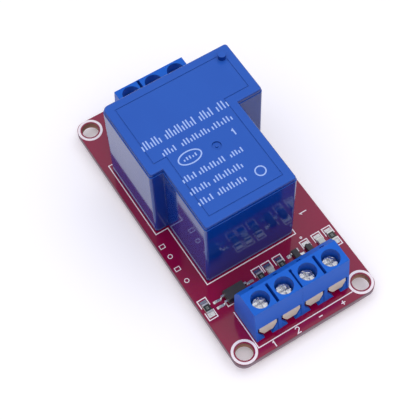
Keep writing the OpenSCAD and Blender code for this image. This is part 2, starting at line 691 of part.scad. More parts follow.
// Solder of one chip end: a pad under the chip and a fillet up its end face.
module chip_solder(x, height) for (s = [0, 1]) translate([x, row_y, board_t]) mirror([0, s, 0]) {
  box([-pad_w / 2, pad_in, 0], [pad_w / 2, pad_out, pad_t]);
  translate([-pad_w / 2, 0, 0]) rotate([90, 0, 90]) linear_extrude(pad_w)
    polygon([[chip_l / 2 + 0.02, 0], [chip_l / 2 + 0.02, height], [chip_l / 2 + 0.25, height * 0.45],
      [pad_out, pad_t]]);
}

// Solder under and beyond one gull-wing lead, along +X from the part's middle.
module lead_solder(reach) {
  box([reach - 0.7, -lead_w / 2 - 0.05, 0], [reach + solder_run, lead_w / 2 + 0.05, pad_t]);
  translate([0, lead_w / 2 + 0.05, 0]) rotate([90, 0, 0]) linear_extrude(lead_w + 0.1)
    polygon([[reach + 0.02, 0], [reach + 0.02, pad_t + lead_t], [reach + solder_run * 0.6, 0.16],
      [reach + solder_run, pad_t]]);
}

module surface_solder() color([0.8, 0.8, 0.8]) {
  for (x = resistor_x) chip_solder(x, 0.35);
  for (x = led_x) chip_solder(x, 0.3);
  diode_solder();
  for (side = [0, 180], y = [-0.5, 0.5])
    translate([opto_at[0], opto_at[1] + y * opto_pitch, board_t]) rotate(side)
      lead_solder(opto_reach);
  for (y = [-transistor_pitch, transistor_pitch])
    translate([transistor_at[0], transistor_at[1] + y, board_t]) rotate(180) short_solder();
  translate([transistor_at[0], transistor_at[1], board_t]) short_solder();
}
module short_solder() box([transistor_reach - 0.6, -0.35, 0], [transistor_reach + 0.45, 0.35, pad_t]);
module diode_solder() for (s = [0, 1]) translate([diode_x, row_y, board_t]) mirror([0, s, 0])
  box([-pad_w / 2, 0.95, 0], [pad_w / 2, pad_out, pad_t]);

// Solder cones round every pin on the underside of the board.
module pin_solder() color([0.78, 0.78, 0.8]) for (p = all_pins()) translate([p[0], p[1], 0])
  difference() {
    union() {
      translate([0, 0, -0.08]) cylinder(h = 0.08, r = p[2] / 2 + 0.75);
      translate([0, 0, -cone_h]) cylinder(h = cone_h - 0.05, r1 = p[2] / 2 + 0.1, r2 = p[2] / 2 + 0.6);
    }
    translate([0, 0, -2]) cylinder(h = 3, r = p[2] / 2 + 0.01);
  }

// ---- one line per node ----
pcb();
relay_cover();
relay_base();
relay_bobbin();
relay_winding();
relay_core();
relay_yoke();
relay_armature();
relay_contact_arm();
relay_nc_terminal();
relay_no_terminal();
relay_common_terminal();
relay_coil_pins();
input_housing_left();
input_housing_right();
input_contact_1();
input_contact_2();
input_contact_3();
input_contact_4();
input_clamp_1();
input_clamp_2();
input_clamp_3();
input_clamp_4();
input_screw_1();
input_screw_2();
input_screw_3();
input_screw_4();
output_housing();
output_contact_1();
output_contact_2();
output_contact_3();
output_clamp_1();
output_clamp_2();
output_clamp_3();
output_screw_1();
output_screw_2();
output_screw_3();
optocoupler_body();
optocoupler_leads();
transistor_body();
transistor_leads();
diode();
power_led_body();
power_led_lens();
signal_led_body();
signal_led_lens();
resistor_1();
resistor_2();
resistor_3();
resistor_4();
surface_solder();
pin_solder();
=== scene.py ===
import math
import bmesh
import bpy
from mathutils import Matrix, Vector


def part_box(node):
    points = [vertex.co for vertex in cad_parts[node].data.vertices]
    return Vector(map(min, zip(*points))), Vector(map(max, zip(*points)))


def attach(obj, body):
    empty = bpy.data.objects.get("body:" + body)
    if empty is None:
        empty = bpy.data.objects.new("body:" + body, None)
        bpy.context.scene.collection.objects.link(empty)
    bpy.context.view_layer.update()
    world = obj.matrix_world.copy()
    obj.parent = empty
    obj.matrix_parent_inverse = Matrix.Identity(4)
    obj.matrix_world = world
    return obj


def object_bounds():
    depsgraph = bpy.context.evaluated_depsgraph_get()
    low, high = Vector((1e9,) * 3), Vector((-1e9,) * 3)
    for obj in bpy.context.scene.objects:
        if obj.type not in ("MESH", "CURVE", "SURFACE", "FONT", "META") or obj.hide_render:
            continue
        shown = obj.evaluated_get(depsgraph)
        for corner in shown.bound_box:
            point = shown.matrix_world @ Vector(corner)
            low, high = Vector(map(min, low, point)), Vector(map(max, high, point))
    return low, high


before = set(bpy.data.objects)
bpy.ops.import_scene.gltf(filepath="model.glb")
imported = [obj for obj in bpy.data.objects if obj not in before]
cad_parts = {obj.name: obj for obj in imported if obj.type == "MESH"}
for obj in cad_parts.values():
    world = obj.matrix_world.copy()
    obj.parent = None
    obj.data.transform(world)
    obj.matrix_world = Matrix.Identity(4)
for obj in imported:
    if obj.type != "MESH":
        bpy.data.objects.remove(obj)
cad_low, cad_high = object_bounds()
MM = 0.001

# ---- Camera ----
# A long lens, 102.78 mm before a 36 mm wide frame, looks down at the board from its front left
# corner, rolled a little. It aims close to the middle of the board's top.
aim = Vector((-2.503, -0.151, 1.6)) * MM
azimuth, elevation, roll = math.radians(-30.33), math.radians(61.08), math.radians(-2.204)
distance = 232.67 * MM
back = Vector((math.sin(azimuth) * math.cos(elevation),
               -math.cos(azimuth) * math.cos(elevation), math.sin(elevation)))
level = (-back).cross(Vector((0, 0, 1))).normalized()
above = level.cross(-back)
right = level * math.cos(roll) + above * math.sin(roll)
up = above * math.cos(roll) - level * math.sin(roll)
camera = bpy.data.objects.new("camera", bpy.data.cameras.new("camera"))
camera.matrix_world = Matrix.Translation(aim + back * distance) @ Matrix(
    (right, up, back)).transposed().to_4x4()
camera.data.sensor_width = 36
camera.data.lens = 102.78
camera.data.clip_start = 0.01
bpy.context.scene.collection.objects.link(camera)
bpy.context.scene.camera = camera
bpy.context.scene.view_settings.view_transform = "Standard"


# ---- Studio ----
# White paper under the board, one broad soft lamp overhead and a weak even fill, so that the tops
# are bright and the upright sides fall off. Seen directly or mirrored, paper and room are white.
def linear(hex_code):
    """An sRGB hex colour as linear red, green, blue and alpha."""
    parts = [int(hex_code[i:i + 2], 16) / 255 for i in (1, 3, 5)]
    return [c / 12.92 if c <= 0.04045 else ((c + 0.055) / 1.055) ** 2.4 for c in parts] + [1.0]


def feed(tree, node, inputs):
    """Sets a node's inputs; each is a value, or another node's output to link from."""
    for name, value in inputs.items():
        if isinstance(value, bpy.types.NodeSocket):
            tree.links.new(value, node.inputs[name])
        else:
            node.inputs[name].default_value = value


def add(tree, kind, inputs=None, **settings):
    """Adds a node to the tree, with its settings and inputs."""
    node = tree.nodes.new("ShaderNode" + kind)
    for name, value in settings.items():
        setattr(node, name, value)
    feed(tree, node, inputs or {})
    return node


def new_material(name):
    """A new material, with its node tree and its shader."""
    material = bpy.data.materials.new(name)
    material.use_nodes = True
    return material, material.node_tree, material.node_tree.nodes["Principled BSDF"]


def seen(tree):
    """1 where the camera sees a surface directly, mirrored or through glass, 0 for its light."""
    path = add(tree, "LightPath").outputs
    either = add(tree, "Math", {0: path["Is Camera Ray"], 1: path["Is Glossy Ray"]},
                 operation="MAXIMUM")
    return add(tree, "Math", {0: either.outputs[0], 1: path["Is Transmission Ray"]},
               operation="MAXIMUM").outputs[0]


room_fill = 0.25
world = bpy.data.worlds.new("room")
world.use_nodes = True
tree = world.node_tree
tree.nodes.clear()
fill = add(tree, "Background", {"Color": linear("#ffffff"), "Strength": room_fill})
white = add(tree, "Background", {"Color": linear("#ffffff"), "Strength": 1.0})
room = add(tree, "MixShader", {0: seen(tree), 1: fill.outputs[0], 2: white.outputs[0]})
add(tree, "OutputWorld", {"Surface": room.outputs[0]})
bpy.context.scene.world = world

lamp_spread, lamp_strength = math.radians(95), 2.35
lamp = bpy.data.objects.new("soft_lamp", bpy.data.lights.new("soft_lamp", "SUN"))
lamp.data.angle = lamp_spread
lamp.data.energy = lamp_strength
lamp.rotation_euler = Vector((0.0, -0.12, 1)).to_track_quat("Z", "Y").to_euler()
lamp.visible_glossy = False
bpy.context.scene.collection.objects.link(lamp)

# matt white paper, without shine; it keeps the board's soft shadow
paper_lift = 0.16
paper, tree, shader = new_material("studio_paper")
lift = add(tree, "Math", {0: seen(tree), 1: paper_lift}, operation="MULTIPLY")
feed(tree, shader, {"Base Color": linear("#f3f1fa"), "Roughness": 0.95,
                    "Emission Color": linear("#ffffff"), "Emission Strength": lift.outputs[0]})

reach, paper_gap = 3.0, 0.00001
ground = cad_low[2] - paper_gap
floor_mesh = bpy.data.meshes.new("floor")
floor_mesh.from_pydata([(-reach, -reach, ground), (reach, -reach, ground),
                        (reach, reach, ground), (-reach, reach, ground)], [], [(0, 1, 2, 3)])
floor_mesh.materials.append(paper)
floor = bpy.data.objects.new("floor", floor_mesh)
bpy.context.scene.collection.objects.link(floor)


# ---- Board ----
# Glass-fibre laminate, 1.6 mm thick, coated with glossy dark red solder mask on both faces, then
# routed and drilled, so that the cut edges and the hole walls stay bare. It carries all the rest.
BY, ONE, OTHER, MIXED = 0, 6, 7, 2      # a Mix node's colour sockets


def mottle(tree, place, size, dark, light, detail=3.0):
    """A cloudy colour of two tones, its patches a size in metres across: pattern and colour."""
    cloud = add(tree, "TexNoise", {"Vector": place, "Scale": 1 / size,
                                   "Detail": detail}).outputs["Fac"]
    tone = add(tree, "Mix", {BY: cloud, ONE: linear(dark), OTHER: linear(light)},
               data_type="RGBA")
    return cloud, tone.outputs[MIXED]


def upward(tree):
    """How far a face looks up: 1 on top, 0 on the sides, -1 underneath."""
    normal = add(tree, "NewGeometry").outputs["True Normal"]
    return add(tree, "SeparateXYZ", {0: normal}).outputs["Z"]


def box_mm(name):
    """A CAD node's lowest and highest corners, in millimetres."""
    return [[c / MM for c in corner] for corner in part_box(name)]


def dress(material, *names):
    """Gives CAD nodes a material."""
    for name in names:
        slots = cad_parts[name].data.materials
        slots.clear()
        slots.append(material)


board_low, board_high = box_mm("pcb")
HOLE_INSET, HOLE_RADIUS = 2.5, 1.7
mask, tree, shader = new_material("solder_mask_on_glass_fibre")
place = add(tree, "TexCoord").outputs["Object"]
# clear red lacquer that mirrors what stands on it, with clouds about 9 mm across where the copper
# under it is broken up
_, lacquer = mottle(tree, place, 9 * MM, "#800236", "#8e0440")
# the laminate's glass cloth, 0.2 mm a layer, shows on the cut edges as plum-grey bands, drawn 0.5
# mm thick to show; their paling downwards towards the white paper is painted light, a glow from
# below
layers = add(tree, "TexNoise", {
    "Vector": add(tree, "Mapping", {0: place, "Scale": (0.12, 0.12, 1)}).outputs[0],
    "Scale": 1 / (0.5 * MM), "Detail": 4.0})
height = add(tree, "SeparateXYZ", {0: place}).outputs["Z"]
bands_and_glow = add(tree, "MapRange", {"Value": height, "From Min": 1.5 * MM, "From Max": 0.0,
                               "To Min": 0.0, "To Max": 0.65})
bands_and_glow = add(tree, "Math", {0: bands_and_glow.outputs[0], 1: layers.outputs["Fac"]}, operation="ADD")
paler = add(tree, "MapRange", {"Value": bands_and_glow.outputs[0], "From Min": 0.35, "From Max": 1.2})
edge = add(tree, "Mix", {BY: paler.outputs[0], ONE: linear("#5f3f4c"),
                         OTHER: linear("#9c8792")}, data_type="RGBA")
# the drilled hole walls are barer and browner, and pale downwards with the same painted light; they
# lie within a hole's radius of its middle
bore = add(tree, "Mix", {BY: bands_and_glow.outputs[0], ONE: linear("#70463f"),
                         OTHER: linear("#a97c68")}, data_type="RGBA")
hole = ((board_high[0] - HOLE_INSET) * MM, (board_high[1] - HOLE_INSET) * MM, 0)
away = add(tree, "VectorMath", {0: place}, operation="ABSOLUTE")
away = add(tree, "VectorMath", {0: away.outputs[0], 1: hole}, operation="SUBTRACT")
away = add(tree, "VectorMath", {0: away.outputs[0], 1: (1, 1, 0)}, operation="MULTIPLY")
away = add(tree, "VectorMath", {0: away.outputs[0]}, operation="LENGTH")
drilled = add(tree, "Math", {0: away.outputs["Value"], 1: (HOLE_RADIUS + 0.05) * MM},
              operation="LESS_THAN")
bare = add(tree, "Mix", {BY: drilled.outputs[0], ONE: edge.outputs[MIXED],
                         OTHER: bore.outputs[MIXED]}, data_type="RGBA")
flat = add(tree, "Math", {0: upward(tree)}, operation="ABSOLUTE")
flat = add(tree, "Math", {0: flat.outputs[0], 1: 0.9}, operation="GREATER_THAN")
coat = add(tree, "Mix", {BY: flat.outputs[0], ONE: bare.outputs[MIXED], OTHER: lacquer},
           data_type="RGBA")
rough = add(tree, "MapRange", {"Value": flat.outputs[0], "To Min": 0.75, "To Max": 0.1})
# the lacquer's slight orange peel, 1.6 mm across
peel = add(tree, "TexNoise", {"Vector": place, "Scale": 1 / (1.6 * MM), "Detail": 2.0})
relief = add(tree, "Bump", {"Height": peel.outputs["Fac"], "Strength": 0.12,
                            "Distance": 0.02 * MM})
feed(tree, shader, {"Base Color": coat.outputs[MIXED], "Roughness": rough.outputs[0],
                    "Normal": relief.outputs[0], "IOR": 1.52})
dress(mask, "pcb")

# ---- White print on the board ----
# Epoxy ink, screen printed over the mask and slightly raised: a ring round each mounting hole, the
# outline of each part's seat, and plain numbers in front of the terminals.
ink, tree, shader = new_material("screen_printed_epoxy_ink")
# near-white and dull, thinner in spots 0.25 mm across
_, shade = mottle(tree, add(tree, "TexCoord").outputs["Object"], 0.25 * MM, "#e8dbe8", "#fbf3fa")
feed(tree, shader, {"Base Color": shade, "Roughness": 0.45})
board_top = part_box("pcb")[1][2]
INK_T = 0.02 * MM
LINE = 0.2


def show(name, bm, material):
    """Turns a bmesh into a named piece that stays with the board."""
    mesh = bpy.data.meshes.new(name)
    bm.to_mesh(mesh)
    bm.free()
    mesh.materials.append(material)
    piece = bpy.data.objects.new(name, mesh)
    bpy.context.scene.collection.objects.link(piece)
    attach(piece, "module")


def ribbon(bm, points, width, low, thick, closed=False):
    """A flat raised line along points in millimetres, with mitred corners."""
    pts = [Vector(p) for p in points]
    n = len(pts)
    sharpest = 0.35     # limits how far a mitre reaches out
    sections = []
    for i, p in enumerate(pts):
        before = pts[i - 1] if (i or closed) else None
        after = pts[(i + 1) % n] if (i < n - 1 or closed) else None
        a = (p - before).normalized() if before is not None else None
        b = (after - p).normalized() if after is not None else None
        a, b = a or b, b or a
        side = Vector((-(a + b).y, (a + b).x)).normalized()
        side *= width / 2 / max(sharpest, side.dot(Vector((-a.y, a.x))))
        one, other = p + side, p - side
        sections.append([bm.verts.new((q.x * MM, q.y * MM, z)) for q, z in
                         ((one, low + thick), (other, low + thick), (other, low), (one, low))])
    for i in range(n if closed else n - 1):
        a, b = sections[i], sections[(i + 1) % n]
        for k in range(4):
            bm.faces.new((a[k], a[(k + 1) % 4], b[(k + 1) % 4], b[k]))
    if not closed:
        bm.faces.new(sections[0][::-1])
        bm.faces.new(sections[-1])


def ring(bm, x, y, inner, outer, low, thick, steps=64):
    """A raised flat ring, sizes in millimetres."""
    loops = []
    for r, z in ((inner, low + thick), (outer, low + thick), (outer, low), (inner, low)):
        loops.append([bm.verts.new(((x + r * math.cos(2 * math.pi * i / steps)) * MM,
                                    (y + r * math.sin(2 * math.pi * i / steps)) * MM, z))
                      for i in range(steps)])
    for k in range(4):
        one, other = loops[k], loops[(k + 1) % 4]
        for i in range(steps):
            j = (i + 1) % steps
            bm.faces.new((one[i], one[j], other[j], other[i]))


RING_INNER, RING_OUTER = 2.0, 2.5
bm = bmesh.new()
for x in (board_low[0] + HOLE_INSET, board_high[0] - HOLE_INSET):
    for y in (board_low[1] + HOLE_INSET, board_high[1] - HOLE_INSET):
        ring(bm, x, y, RING_INNER, RING_OUTER, board_top, INK_T)
show("print_hole_rings", bm, ink)

bm = bmesh.new()


def seat_line(points, closed=False):
    """One outline line on the board, points in millimetres."""
    ribbon(bm, points, LINE, board_top, INK_T, closed)


def centre(name):
    """The middle of a CAD node, in millimetres."""
    return [(a + b) / 2 for a, b in zip(*box_mm(name))]


# the relay's T-shaped seat, 0.22 mm clear of the case; two wings widen its rear part
LEFT_WING_W, RIGHT_WING_W, LEFT_WING_L, RIGHT_WING_L = 2.65, 5.3, 17.6, 12.7
clear = 0.22 + LINE / 2
case_low, case_high = box_mm("relay_cover")
seat_left, seat_right = case_low[0] - clear, case_high[0] + clear
front, rear = case_low[1] - clear, case_high[1] + clear
body_left, body_right = seat_left + LEFT_WING_W, seat_right - RIGHT_WING_W
left_step, right_step = (case_high[1] - wing - clear for wing in (LEFT_WING_L, RIGHT_WING_L))
seat_line([(body_left, front), (body_right, front), (body_right, right_step),
           (seat_right, right_step), (seat_right, rear), (seat_left, rear),
           (seat_left, left_step), (body_left, left_step)], closed=True)
# the front terminal: its left side and front, as far as the right hole's ring
block_low, block_high = box_mm("input_housing_left")
block_right = box_mm("input_housing_right")[1][0]
side_line, label_line = block_low[0] - 0.29, block_low[1] - 1.07
seat_line([(side_line, block_high[1] - 0.25), (side_line, label_line),
           (block_right + 0.09, label_line)])
# the rear terminal: both sides and the rear
out_low, out_high = box_mm("output_housing")
out_left, out_right = out_low[0] - 0.13, out_high[0] + 0.13
out_front, out_rear = out_low[1] - 0.15, out_high[1] + 0.5
seat_line([(out_left, out_front), (out_left, out_rear), (out_right, out_rear),
           (out_right, out_front)])
# the chips' boxes, open at the middle of their long sides
CHIP_OPEN, CHIP_REACH, CHIP_HALF, DIODE_HALF = 0.5, 2.25, 0.9, 0.83
row_y = centre("resistor_1")[1]
for name in ("resistor_1", "resistor_2", "power_led_body", "resistor_3", "diode",
             "signal_led_body", "resistor_4"):
    x = centre(name)[0]
    half = DIODE_HALF if name == "diode" else CHIP_HALF
    for s in (-1, 1):
        near, far = row_y + s * CHIP_OPEN, row_y + s * CHIP_REACH
        seat_line([(x - half, near), (x - half, far), (x + half, far), (x + half, near)])
# corners at the optocoupler
x, y, _ = centre("optocoupler_body")
corner_x, corner_y, corner_w, corner_l = 2.45, 1.37, 1.25, 1.22
for s in (-1, 1):
    seat_line([(x + s * corner_x, y - corner_y + corner_l), (x + s * corner_x, y - corner_y),
               (x + s * (corner_x - corner_w), y - corner_y)])
# ticks at the transistor
x, y, _ = centre("transistor_body")
tick_x, tick_end, tick_l, tick_foot = 1.0, 1.7, 0.8, 0.75
seat_line([(x + tick_x, y + tick_end), (x + tick_x, y + tick_end - tick_l)])
seat_line([(x + tick_x, y - tick_end + tick_l), (x + tick_x, y - tick_end),
           (x + tick_x - tick_foot, y - tick_end)])
# plain boxes and rings by turns beside the relay
mark_x = (board_low[0] + seat_left) / 2 + 0.35
mark_half_w, mark_half_l, mark_line, mark_inner, mark_outer = 0.5, 0.4, 0.14, 0.35, 0.5
for y in (-2.0, -7.6):
    ribbon(bm, [(mark_x - mark_half_w, y - mark_half_l), (mark_x + mark_half_w, y - mark_half_l),
                (mark_x + mark_half_w, y + mark_half_l), (mark_x - mark_half_w, y + mark_half_l)],
           mark_line, board_top, INK_T, closed=True)
for y in (-4.6, -10.6):
    ring(bm, mark_x + 0.2, y, mark_inner, mark_outer, board_top, INK_T, 24)
# a dot in front of the relay's right corner
dot_x, dot_y, dot_inner, dot_outer = 8.87, -14.7, 0.1, 0.26
ring(bm, dot_x, dot_y, dot_inner, dot_outer, board_top, INK_T, 24)
show("print_part_outlines", bm, ink)

# plain numbers and signs of single strokes, each on a field one unit high
SIGNS = {
    "1": [[(-0.22, 0.28), (0.02, 0.5), (0.02, -0.5)]],
    "2": [[(-0.3, 0.3), (-0.15, 0.5), (0.15, 0.5), (0.3, 0.3), (0.3, 0.12), (-0.3, -0.5),
           (0.32, -0.5)]],
    "3": [[(-0.3, 0.36), (-0.14, 0.5), (0.14, 0.5), (0.3, 0.36), (0.3, 0.16), (0.12, 0.02),
           (-0.1, 0.02)],
          [(0.18, -0.04), (0.3, -0.16), (0.3, -0.36), (0.14, -0.5), (-0.14, -0.5),
           (-0.3, -0.36)]],
    "minus": [[(-0.34, 0), (0.34, 0)]],
    "plus": [[(-0.36, 0), (0.36, 0)], [(0, 0.36), (0, 0.08)], [(0, -0.08), (0, -0.36)]],
}


def sign(name, kind, x, y, height, turn, stroke, low, thick, material):
    """A plain number or sign as raised strokes, in millimetres, turned about +Z by degrees."""
    c, s = math.cos(math.radians(turn)), math.sin(math.radians(turn))
    bm = bmesh.new()
    for line in SIGNS[kind]:
        ribbon(bm, [(x + height * (u * c - v * s), y + height * (u * s + v * c))
                    for u, v in line], stroke, low, thick)
    show(name, bm, material)


INPUT_SIGN, OUTPUT_SIGN, SEAT_SIGN = 1.2, 1.1, 1.5      # heights
input_sign_y, output_sign_y = label_line - 0.92, out_high[1] + 1.35
for i, kind in enumerate(("1", "2", "minus", "plus"), 1):
    sign(f"print_input_sign_{i}", kind, centre(f"input_screw_{i}")[0], input_sign_y,
         INPUT_SIGN, 0, LINE, board_top, INK_T, ink)
for i, kind in enumerate(("1", "2", "3"), 1):
    sign(f"print_output_sign_{i}", kind, centre(f"output_screw_{i}")[0], output_sign_y,
         OUTPUT_SIGN, 180, LINE, board_top, INK_T, ink)
seat_sign_x, seat_sign_y = 12.4, -10.3
sign("print_relay_seat_sign", "1", seat_sign_x, seat_sign_y, SEAT_SIGN, 90, LINE, board_top,
     INK_T, ink)

# ---- Relay case ----
# Blue thermoplastic, injection moulded and closed over the relay's works by their base plate. The
# sides left the mould polished and mirror the board; the top has the mould's fine satin grain.
case, tree, shader = new_material("moulded_blue_polyester")
place = add(tree, "TexCoord").outputs["Object"]
# an even, deep blue that flow lines about 6 mm long vary a little; the top faces are painted paler,
# as painted light from above, and the sides darker, as painted shade
along = add(tree, "Mapping", {0: place, "Scale": (1, 0.3, 1)}).outputs[0]
flow, lit_top_blue = mottle(tree, along, 6 * MM, "#1d51b2", "#235abc", 4.0)
shaded_side_blue = add(tree, "Mix", {BY: flow, ONE: linear("#023388"), OTHER: linear("#053a94")},
               data_type="RGBA")
top = add(tree, "MapRange", {"Value": upward(tree), "From Min": 0.6, "From Max": 0.95}).outputs[0]
# painted light and shade: the paler blue on the top faces and the darker blue on the sides
pigment = add(tree, "Mix", {BY: top, ONE: shaded_side_blue.outputs[MIXED], OTHER: lit_top_blue},
              data_type="RGBA")
rough = add(tree, "MapRange", {"Value": top, "To Min": 0.07, "To Max": 0.42})
# spark-eroded grain of the mould, about 0.12 mm, on the top alone; edges rounded as much
grain = add(tree, "TexNoise", {"Vector": place, "Scale": 1 / (0.12 * MM), "Detail": 2.0})
soft = add(tree, "Bevel", {"Radius": 0.12 * MM}, samples=4)
amount = add(tree, "Math", {0: top, 1: 0.25}, operation="MULTIPLY")
relief = add(tree, "Bump", {"Height": grain.outputs["Fac"], "Strength": amount.outputs[0],
                            "Distance": 0.01 * MM, "Normal": soft.outputs[0]})
feed(tree, shader, {"Base Color": pigment.outputs[MIXED], "Roughness": rough.outputs[0],
                    "Normal": relief.outputs[0], "IOR": 1.55, "Specular IOR Level": 0.32})
dress(case, "relay_cover")

# ---- Print on the relay ----
# Pale pad-printed field on the satin top. Rows of plain upright strokes, an oval and a ring stand
# where the maker's words and marks would be; the 1 is the coil's pin number.
pad_ink, tree, shader = new_material("pad_printed_ink")
# pale blue-white and matt, the blue case showing through in spots 0.2 mm across
_, shade = mottle(tree, add(tree, "TexCoord").outputs["Object"], 0.2 * MM, "#8fadf0", "#b2c8fb")
feed(tree, shader, {"Base Color": shade, "Roughness": 0.5})
VENT_NUB = 1.1      # the vent nub stands this far above the case's top
case_top = (case_high[2] - VENT_NUB) * MM
PAD_T = 0.012 * MM
STROKE, STROKE_PITCH, SHORT = 0.26, 0.62, 0.6


def comb(x0, x1, y, height):
    """A group of upright strokes that fills x0 to x1, in millimetres; every third is short."""
    count = max(2, round((x1 - x0) / STROKE_PITCH) + 1)
    foot = y - (height - STROKE) / 2
    for i in range(count):
        x = x0 + (x1 - x0) * i / (count - 1)
        tall = (height - STROKE) * (1 if i % 3 else SHORT)
        ribbon(bm, [(x, foot), (x, foot + tall)], STROKE, case_top, PAD_T)


bm = bmesh.new()
OVAL_X, OVAL_Y, OVAL_HALF_W, OVAL_HALF_H = -5.6, 0.9, 2.3, 1.3
# each row's middle, height and groups from left to right; the last stands in the oval
for y, height, groups in (
        (7.2, 2.1, ((-11.8, -8.2), (-6.9, -1.0), (0.3, 2.7), (4.0, 6.1))),
        (4.1, 1.5, ((-9.3, -6.9), (-5.3, 0.2), (1.1, 5.1))),
        (-2.6, 1.5, ((-9.2, -6.8), (-5.8, -0.8))),
        (-2.7, 1.3, ((0.7, 3.0),)),
        (-5.4, 1.5, ((-9.4, -5.7), (-4.5, 1.2))),
        (-8.0, 1.5, ((-9.3, -6.7), (-5.3, 0.2))),
        (OVAL_Y, 0.95, ((OVAL_X - 1.2, OVAL_X + 1.2),))):
    for x0, x1 in groups:
        comb(x0, x1, y, height)
steps = 48
ribbon(bm, [(OVAL_X + OVAL_HALF_W * math.cos(2 * math.pi * i / steps),
             OVAL_Y + OVAL_HALF_H * math.sin(2 * math.pi * i / steps)) for i in range(steps)],
       STROKE, case_top, PAD_T, closed=True)
ring_x, ring_y, ring_inner, ring_outer = 3.4, -8.3, 0.85, 1.1
ring(bm, ring_x, ring_y, ring_inner, ring_outer, case_top, PAD_T, 40)
show("print_relay_field", bm, pad_ink)
pin_sign_x, pin_sign_y, PIN_SIGN = 3.9, 1.1, 1.3
sign("print_relay_pin_number", "1", pin_sign_x, pin_sign_y, PIN_SIGN, 0, STROKE, case_top, PAD_T,
     pad_ink)

# ---- Relay works ----
# Hidden under the case: base plate, nylon bobbin with enamelled copper wire, soft-iron magnet
# parts, and copper-alloy contact strips whose tinned ends pass the board.
base_plastic, tree, shader = new_material("moulded_black_polyester")
# near-black and dull, with faint 0.4 mm specks of filler
_, shade = mottle(tree, add(tree, "TexCoord").outputs["Object"], 0.4 * MM, "#10131c", "#1d2230",
                  4.0)
feed(tree, shader, {"Base Color": shade, "Roughness": 0.5})
dress(base_plastic, "relay_base")

nylon, tree, shader = new_material("moulded_natural_nylon")
# milky cream with a waxy shine
_, shade = mottle(tree, add(tree, "TexCoord").outputs["Object"], 1.2 * MM, "#d8d0bc", "#e8e2d2")
feed(tree, shader, {"Base Color": shade, "Roughness": 0.4})
dress(nylon, "relay_bobbin")

wire, tree, shader = new_material("enamelled_copper_winding")
# copper brown under clear enamel, ridged by level turns; the wire is 0.16 mm, drawn twice as coarse
TURN = 0.316 * MM
turns = add(tree, "TexWave", {"Vector": add(tree, "TexCoord").outputs["Object"],
                              "Scale": math.pi / 10 / TURN, "Distortion": 0.6},
            bands_direction="Z").outputs["Fac"]
shade = add(tree, "Mix", {BY: turns, ONE: linear("#6e2c0e"), OTHER: linear("#c4693a")},
            data_type="RGBA")
relief = add(tree, "Bump", {"Height": turns, "Strength": 0.8, "Distance": 0.05 * MM})
feed(tree, shader, {"Base Color": shade.outputs[MIXED], "Roughness": 0.3,
                    "Normal": relief.outputs[0], "Coat Weight": 0.5})
dress(wire, "relay_winding")

iron, tree, shader = new_material("zinc_plated_iron")
# grey metal with 0.15 mm lines along Y, the way it was rolled
along = add(tree, "Mapping", {0: add(tree, "TexCoord").outputs["Object"],
                              "Scale": (1, 0.08, 1)}).outputs[0]
rolled, shade = mottle(tree, along, 0.15 * MM, "#9a9b9e", "#c3c4c8")
rough = add(tree, "MapRange", {"Value": rolled, "To Min": 0.28, "To Max": 0.42})
feed(tree, shader, {"Base Color": shade, "Metallic": 1.0, "Roughness": rough.outputs[0]})
dress(iron, "relay_core", "relay_yoke", "relay_armature")

alloy, tree, shader = new_material("rolled_copper_alloy_tinned_below")
# warm yellow metal, clouded 0.3 mm across, pale grey where tin starts below the base plate
TIN_FROM, TIN_FULL = 3.6 * MM, 2.2 * MM
place = add(tree, "TexCoord").outputs["Object"]
_, warm = mottle(tree, place, 0.3 * MM, "#b9853f", "#d6a765", 4.0)
height = add(tree, "SeparateXYZ", {0: place}).outputs["Z"]
tinned = add(tree, "MapRange", {"Value": height, "From Min": TIN_FROM, "From Max": TIN_FULL})
shade = add(tree, "Mix", {BY: tinned.outputs[0], ONE: warm, OTHER: linear("#c9c9cb")},
            data_type="RGBA")
feed(tree, shader, {"Base Color": shade.outputs[MIXED], "Metallic": 1.0, "Roughness": 0.3})
dress(alloy, "relay_contact_arm", "relay_nc_terminal", "relay_no_terminal",
      "relay_common_terminal")

# ---- Terminal housings ----
# Bright blue polyamide, injection moulded: two two-way blocks side by side at the front and one
# three-way block at the rear. They stand on the board and are held by their contacts' pins.
housing, tree, shader = new_material("moulded_blue_polyamide")
place = add(tree, "TexCoord").outputs["Object"]
# one clear blue with a soft shine that flow marks 4 mm across vary
flow, pigment = mottle(tree, place, 4 * MM, "#1f60ca", "#276ad6", 4.0)
rough = add(tree, "MapRange", {"Value": flow, "To Min": 0.3, "To Max": 0.42})
# faint 0.6 mm ripple of the mould's faces, and edges rounded by 0.1 mm
ripple = add(tree, "TexNoise", {"Vector": place, "Scale": 1 / (0.6 * MM), "Detail": 2.0})
soft = add(tree, "Bevel", {"Radius": 0.1 * MM}, samples=4)
relief = add(tree, "Bump", {"Height": ripple.outputs["Fac"], "Strength": 0.15,
                            "Distance": 0.01 * MM, "Normal": soft.outputs[0]})
feed(tree, shader, {"Base Color": pigment, "Roughness": rough.outputs[0],
                    "Normal": relief.outputs[0], "IOR": 1.53, "Specular IOR Level": 0.1})
dress(housing, "input_housing_left", "input_housing_right", "output_housing")

# ---- Contact frames and clamp plates ----
# Folded brass frames, tin plated, with a threaded top and a pin soldered into the board; each
# holds a nickel-plated steel plate whose leaning lip closes the wire entry.
WAYS = [f"input_{{}}_{i}" for i in (1, 2, 3, 4)] + [f"output_{{}}_{i}" for i in (1, 2, 3)]
tin, tree, shader = new_material("tin_plated_brass")
# dull pale metal, cloudy in patches 0.5 mm across
cloud, shade = mottle(tree, add(tree, "TexCoord").outputs["Object"], 0.5 * MM, "#a79f8c",
                      "#cfc8b6", 5.0)
rough = add(tree, "MapRange", {"Value": cloud, "To Min": 0.25, "To Max": 0.5})
feed(tree, shader, {"Base Color": shade, "Metallic": 1.0, "Roughness": rough.outputs[0]})
dress(tin, *[way.format("contact") for way in WAYS])

plate, tree, shader = new_material("nickel_plated_steel_plate")
